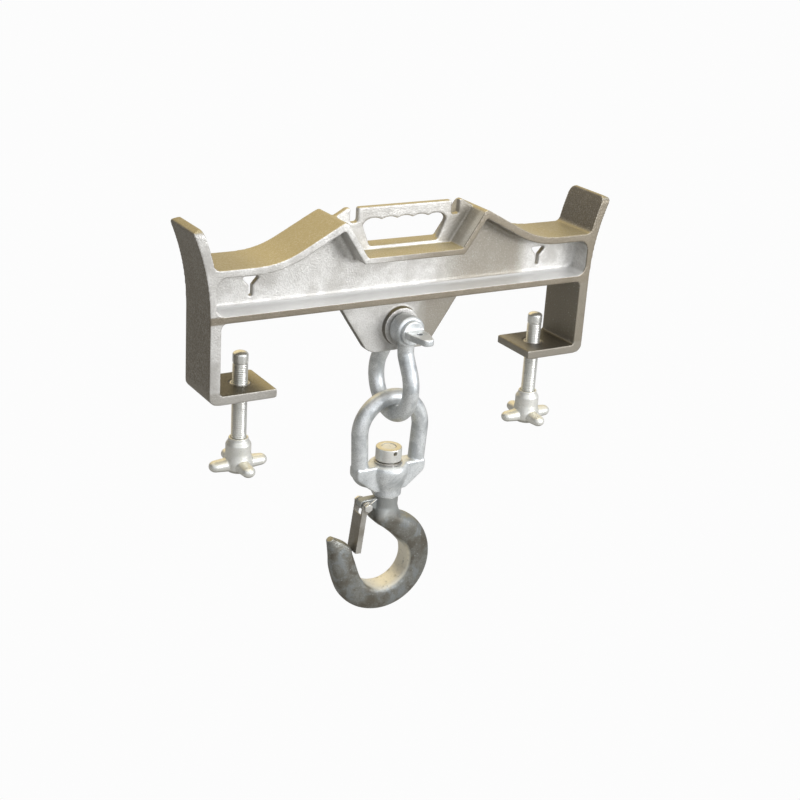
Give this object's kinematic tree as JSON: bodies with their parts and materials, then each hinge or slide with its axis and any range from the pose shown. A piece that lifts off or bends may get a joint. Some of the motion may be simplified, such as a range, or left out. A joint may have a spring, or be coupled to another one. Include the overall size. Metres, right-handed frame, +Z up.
{
  "type": "fork beam clamp with swivel hook",
  "caption": "Cast lifting beam that clamps under two fork tines with hand screws, and carries a bow shackle, a swivel eye and a latched hook on a central lug.",
  "frame": {"origin": "centre of the beam's underside, the plane that the clamped tines bear on", "axes": "+X along the beam, +Z up; the screw pin's eye faces -Y and the hook's tip points to -X"},
  "size_m": [0.6092, 0.1405, 0.5832],
  "materials": {
    "cast_aluminium": "as-cast, lightly blasted, stained gold-brown where it faces up and at the ends",
    "zinc_plated_steel": "bright zinc plate",
    "galvanised_steel": "hot-dip galvanised",
    "forged_steel": "forged and heat-treated, rubbed bright in the bowl",
    "plain_steel": "oiled",
    "spring_steel": "bright drawn wire"
  },
  "bodies": {
    "beam": {"beam_casting": "cast_aluminium", "left_thread_insert": "plain_steel", "right_thread_insert": "plain_steel"},
    "left_cap": {"left_screw_cap": "zinc_plated_steel"},
    "left_screw": {"left_clamp_screw": "zinc_plated_steel", "left_star_knob": "zinc_plated_steel", "left_knob_pin": "plain_steel"},
    "right_cap": {"right_screw_cap": "zinc_plated_steel"},
    "right_screw": {"right_clamp_screw": "zinc_plated_steel", "right_star_knob": "zinc_plated_steel", "right_knob_pin": "plain_steel"},
    "shackle": {"shackle_bow": "galvanised_steel", "shackle_pin": "galvanised_steel"},
    "bail": {"swivel_bail": "galvanised_steel", "thrust_washer": "plain_steel"},
    "swivel_hook": {"hook": "forged_steel", "shank_nut": "galvanised_steel", "nut_pin": "plain_steel", "latch_bolt": "zinc_plated_steel", "latch_nut": "zinc_plated_steel"},
    "latch": {"hook_latch": "zinc_plated_steel", "latch_spring": "spring_steel"}
  },
  "joints": [
    {"name": "left_feed", "type": "slide", "parent": "beam", "child": "left_cap", "axis": [0, 0, 1], "range_m": [-0.025, 0.0475]},
    {"name": "left_turn", "type": "hinge", "parent": "left_cap", "child": "left_screw", "pos_m": [-0.225, 0, -0.0925], "axis": [0, 0, 1], "range_deg": [-3600, 6840]},
    {"name": "right_feed", "type": "slide", "parent": "beam", "child": "right_cap", "axis": [0, 0, 1], "range_m": [-0.025, 0.0475]},
    {"name": "right_turn", "type": "hinge", "parent": "right_cap", "child": "right_screw", "pos_m": [0.225, 0, -0.0925], "axis": [0, 0, 1], "range_deg": [-3600, 6840]},
    {"name": "shackle_swing", "type": "hinge", "parent": "beam", "child": "shackle", "pos_m": [0, 0, -0.042], "axis": [0, 1, 0], "range_deg": [-30, 30]},
    {"name": "bail_swing", "type": "hinge", "parent": "shackle", "child": "bail", "pos_m": [0, 0, -0.14395], "axis": [1, 0, 0], "range_deg": [-75, 75]},
    {"name": "hook_swivel", "type": "hinge", "parent": "bail", "child": "swivel_hook", "pos_m": [0, 0, -0.23995], "axis": [0, 0, 1], "continuous": true},
    {"name": "latch_swing", "type": "hinge", "parent": "swivel_hook", "child": "latch", "pos_m": [-0.035, 0, -0.29795], "axis": [0, -1, 0], "range_deg": [0, 30], "stiffness_Nm_per_rad": 0.05, "springref_deg": -34.38, "deforming": ["latch_spring"]}
  ],
  "couplings": [
    {"joint": "left_turn", "follows": "left_feed", "rad_per_m": 2513.3},
    {"joint": "right_turn", "follows": "right_feed", "rad_per_m": 2513.3}
  ]
}
